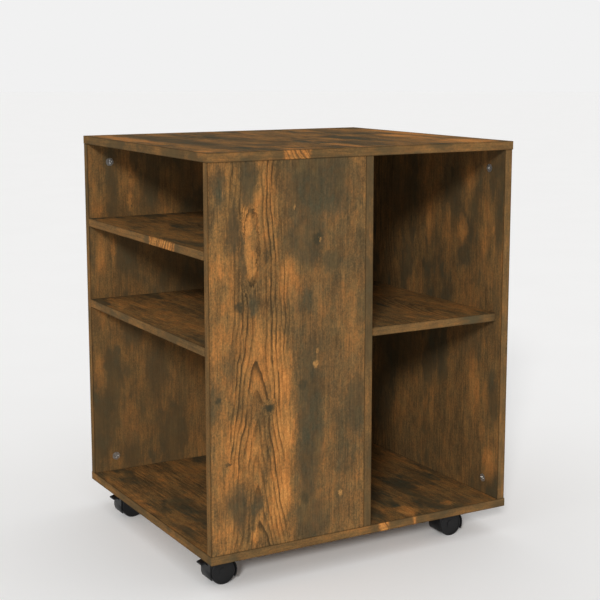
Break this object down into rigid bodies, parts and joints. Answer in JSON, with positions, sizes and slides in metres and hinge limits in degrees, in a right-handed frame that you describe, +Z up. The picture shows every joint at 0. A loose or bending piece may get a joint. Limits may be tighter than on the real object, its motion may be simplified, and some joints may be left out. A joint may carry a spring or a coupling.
{
  "type": "mobile printer stand",
  "caption": "Rolling boarded cabinet with a flat top for a printer, shelved compartments open at the left side and front right, on swivelling hooded casters.",
  "frame": {"origin": "on the floor, under the middle of the cabinet's top and bottom panels", "axes": "+Z up; -Y is the front, with the closed panel on its left half and open shelves on its right half; -X is the left side, which is open to the left shelves"},
  "size_m": [0.6, 0.53, 0.72],
  "materials": {
    "oak_board": "satin",
    "oak_edge": "satin",
    "nickel": "satin",
    "steel": "satin",
    "beech": "matte",
    "black_plastic": "satin",
    "wheel_plastic": "satin"
  },
  "bodies": {
    "cabinet": {"top_panel": "oak_board", "bottom_panel": "oak_board", "front_panel": "oak_board", "divider_panel": "oak_board", "right_side_panel": "oak_board", "back_panel": "oak_board", "upper_left_shelf": "oak_board", "lower_left_shelf": "oak_board", "right_shelf": "oak_board", "top_panel_edge_bands": "oak_edge", "bottom_panel_edge_bands": "oak_edge", "front_panel_edge_band": "oak_edge", "divider_edge_band": "oak_edge", "right_side_edge_band": "oak_edge", "back_panel_edge_bands": "oak_edge", "upper_left_shelf_edge_band": "oak_edge", "lower_left_shelf_edge_band": "oak_edge", "right_shelf_edge_band": "oak_edge", "cam_locks": "nickel", "cam_bolts": "steel", "shelf_cam_locks": "nickel", "shelf_cam_bolts": "steel", "wooden_dowels": "beech", "caster_screws": "steel", "front_left_plate": "steel", "front_left_swivel_pin": "steel", "front_left_swivel_washer": "steel", "rear_left_plate": "steel", "rear_left_swivel_pin": "steel", "rear_left_swivel_washer": "steel", "front_right_plate": "steel", "front_right_swivel_pin": "steel", "front_right_swivel_washer": "steel", "rear_right_plate": "steel", "rear_right_swivel_pin": "steel", "rear_right_swivel_washer": "steel"},
    "front_left_caster": {"front_left_hood": "black_plastic", "front_left_axle": "steel", "front_left_brake_pin": "steel"},
    "front_left_wheel_a": {"front_left_wheel_a": "wheel_plastic"},
    "front_left_wheel_b": {"front_left_wheel_b": "wheel_plastic"},
    "front_left_brake": {"front_left_brake_lever": "black_plastic"},
    "rear_left_caster": {"rear_left_hood": "black_plastic", "rear_left_axle": "steel", "rear_left_brake_pin": "steel"},
    "rear_left_wheel_a": {"rear_left_wheel_a": "wheel_plastic"},
    "rear_left_wheel_b": {"rear_left_wheel_b": "wheel_plastic"},
    "rear_left_brake": {"rear_left_brake_lever": "black_plastic"},
    "front_right_caster": {"front_right_hood": "black_plastic", "front_right_axle": "steel"},
    "front_right_wheel_a": {"front_right_wheel_a": "wheel_plastic"},
    "front_right_wheel_b": {"front_right_wheel_b": "wheel_plastic"},
    "rear_right_caster": {"rear_right_hood": "black_plastic", "rear_right_axle": "steel"},
    "rear_right_wheel_a": {"rear_right_wheel_a": "wheel_plastic"},
    "rear_right_wheel_b": {"rear_right_wheel_b": "wheel_plastic"}
  },
  "joints": [
    {"name": "front_left_swivel", "type": "hinge", "parent": "cabinet", "child": "front_left_caster", "pos_m": [-0.2495, -0.215, 0.04], "axis": [0, 0, 1], "continuous": true},
    {"name": "front_left_roll_a", "type": "hinge", "parent": "front_left_caster", "child": "front_left_wheel_a", "pos_m": [-0.2615, -0.215, 0.022], "axis": [0, 1, 0], "continuous": true},
    {"name": "front_left_roll_b", "type": "hinge", "parent": "front_left_caster", "child": "front_left_wheel_b", "pos_m": [-0.2615, -0.215, 0.022], "axis": [0, 1, 0], "continuous": true},
    {"name": "front_left_brake_press", "type": "hinge", "parent": "front_left_caster", "child": "front_left_brake", "pos_m": [-0.2812, -0.215, 0.0417], "axis": [0, -1, 0], "range_deg": [0, 10]},
    {"name": "rear_left_swivel", "type": "hinge", "parent": "cabinet", "child": "rear_left_caster", "pos_m": [-0.2495, 0.1675, 0.04], "axis": [0, 0, 1], "continuous": true},
    {"name": "rear_left_roll_a", "type": "hinge", "parent": "rear_left_caster", "child": "rear_left_wheel_a", "pos_m": [-0.2615, 0.1675, 0.022], "axis": [0, 1, 0], "continuous": true},
    {"name": "rear_left_roll_b", "type": "hinge", "parent": "rear_left_caster", "child": "rear_left_wheel_b", "pos_m": [-0.2615, 0.1675, 0.022], "axis": [0, 1, 0], "continuous": true},
    {"name": "rear_left_brake_press", "type": "hinge", "parent": "rear_left_caster", "child": "rear_left_brake", "pos_m": [-0.2812, 0.1675, 0.0417], "axis": [0, -1, 0], "range_deg": [0, 10]},
    {"name": "front_right_swivel", "type": "hinge", "parent": "cabinet", "child": "front_right_caster", "pos_m": [0.2155, -0.215, 0.04], "axis": [0, 0, 1], "continuous": true},
    {"name": "front_right_roll_a", "type": "hinge", "parent": "front_right_caster", "child": "front_right_wheel_a", "pos_m": [0.2035, -0.215, 0.022], "axis": [0, 1, 0], "continuous": true},
    {"name": "front_right_roll_b", "type": "hinge", "parent": "front_right_caster", "child": "front_right_wheel_b", "pos_m": [0.2035, -0.215, 0.022], "axis": [0, 1, 0], "continuous": true},
    {"name": "rear_right_swivel", "type": "hinge", "parent": "cabinet", "child": "rear_right_caster", "pos_m": [0.2155, 0.1675, 0.04], "axis": [0, 0, 1], "continuous": true},
    {"name": "rear_right_roll_a", "type": "hinge", "parent": "rear_right_caster", "child": "rear_right_wheel_a", "pos_m": [0.2035, 0.1675, 0.022], "axis": [0, 1, 0], "continuous": true},
    {"name": "rear_right_roll_b", "type": "hinge", "parent": "rear_right_caster", "child": "rear_right_wheel_b", "pos_m": [0.2035, 0.1675, 0.022], "axis": [0, 1, 0], "continuous": true}
  ]
}
